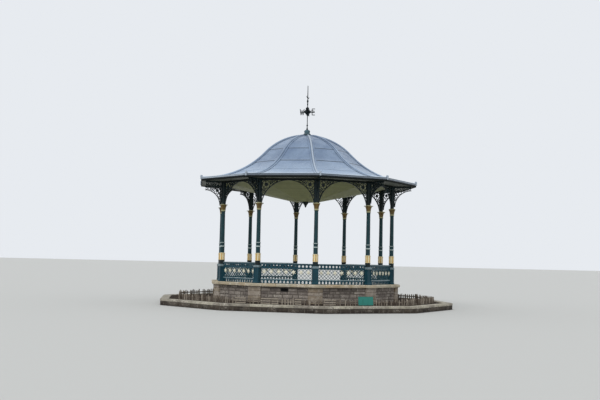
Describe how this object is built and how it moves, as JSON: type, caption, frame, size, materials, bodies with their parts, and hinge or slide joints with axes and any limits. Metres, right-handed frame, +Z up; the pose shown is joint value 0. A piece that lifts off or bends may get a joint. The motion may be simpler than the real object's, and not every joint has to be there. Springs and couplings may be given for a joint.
{
  "type": "bandstand",
  "caption": "Open-sided bandstand on a stone plinth: iron columns, pierced arch brackets, star railings and an ogee roof with a compass finial, in a low walled terrace.",
  "frame": {"origin": "centre of the plan, on the level ground", "axes": "+Z up the centre line, -Y towards the front bay with the air brick, +Y towards the entrance steps, +X to the right seen from the front"},
  "size_m": [12.863, 12.2336, 9.6704],
  "materials": {
    "rubble_stone": "rough weathered rubble, dark joints",
    "coping_stone": "dressed stone with pale lichen",
    "bed_soil": "earth and gravel of the raised bed, matt",
    "deck_concrete": "smooth pale floor slab",
    "weathered_wood": "weathered brown-grey pickets",
    "dark_iron": "dark grille",
    "painted_iron": "dark blue-green gloss paint with gold and cream ornaments",
    "railing_iron": "blue-green gloss paint with cream rosettes",
    "painted_boards": "olive painted boards",
    "roof_lead": "weathered blue-grey lead",
    "verdigris": "green-blue weathered copper"
  },
  "bodies": {
    "root": {"terrace_wall": "rubble_stone", "terrace_coping": "coping_stone", "terrace_bed": "bed_soil", "picket_fence": "weathered_wood", "plinth_wall": "rubble_stone", "air_bricks": "dark_iron", "plinth_coping": "coping_stone", "deck": "deck_concrete", "entrance_steps": "coping_stone", "column_1": "painted_iron", "column_2": "painted_iron", "column_3": "painted_iron", "column_4": "painted_iron", "column_5": "painted_iron", "column_6": "painted_iron", "column_7": "painted_iron", "column_8": "painted_iron", "column_9": "painted_iron", "column_10": "painted_iron", "railing_1": "railing_iron", "railing_2": "railing_iron", "railing_3": "railing_iron", "railing_4": "railing_iron", "railing_6": "railing_iron", "railing_7": "railing_iron", "railing_8": "railing_iron", "railing_9": "railing_iron", "railing_10": "railing_iron", "bracket_1": "painted_iron", "bracket_2": "painted_iron", "bracket_3": "painted_iron", "bracket_4": "painted_iron", "bracket_5": "painted_iron", "bracket_6": "painted_iron", "bracket_7": "painted_iron", "bracket_8": "painted_iron", "bracket_9": "painted_iron", "bracket_10": "painted_iron", "ring_beam": "painted_iron", "ceiling": "painted_boards", "ceiling_boss": "painted_iron", "eaves_soffit": "painted_boards", "fascia": "painted_iron", "roof_shell": "roof_lead", "hip_rolls": "roof_lead", "roof_cap": "verdigris", "finial": "painted_iron"}
  },
  "joints": []
}
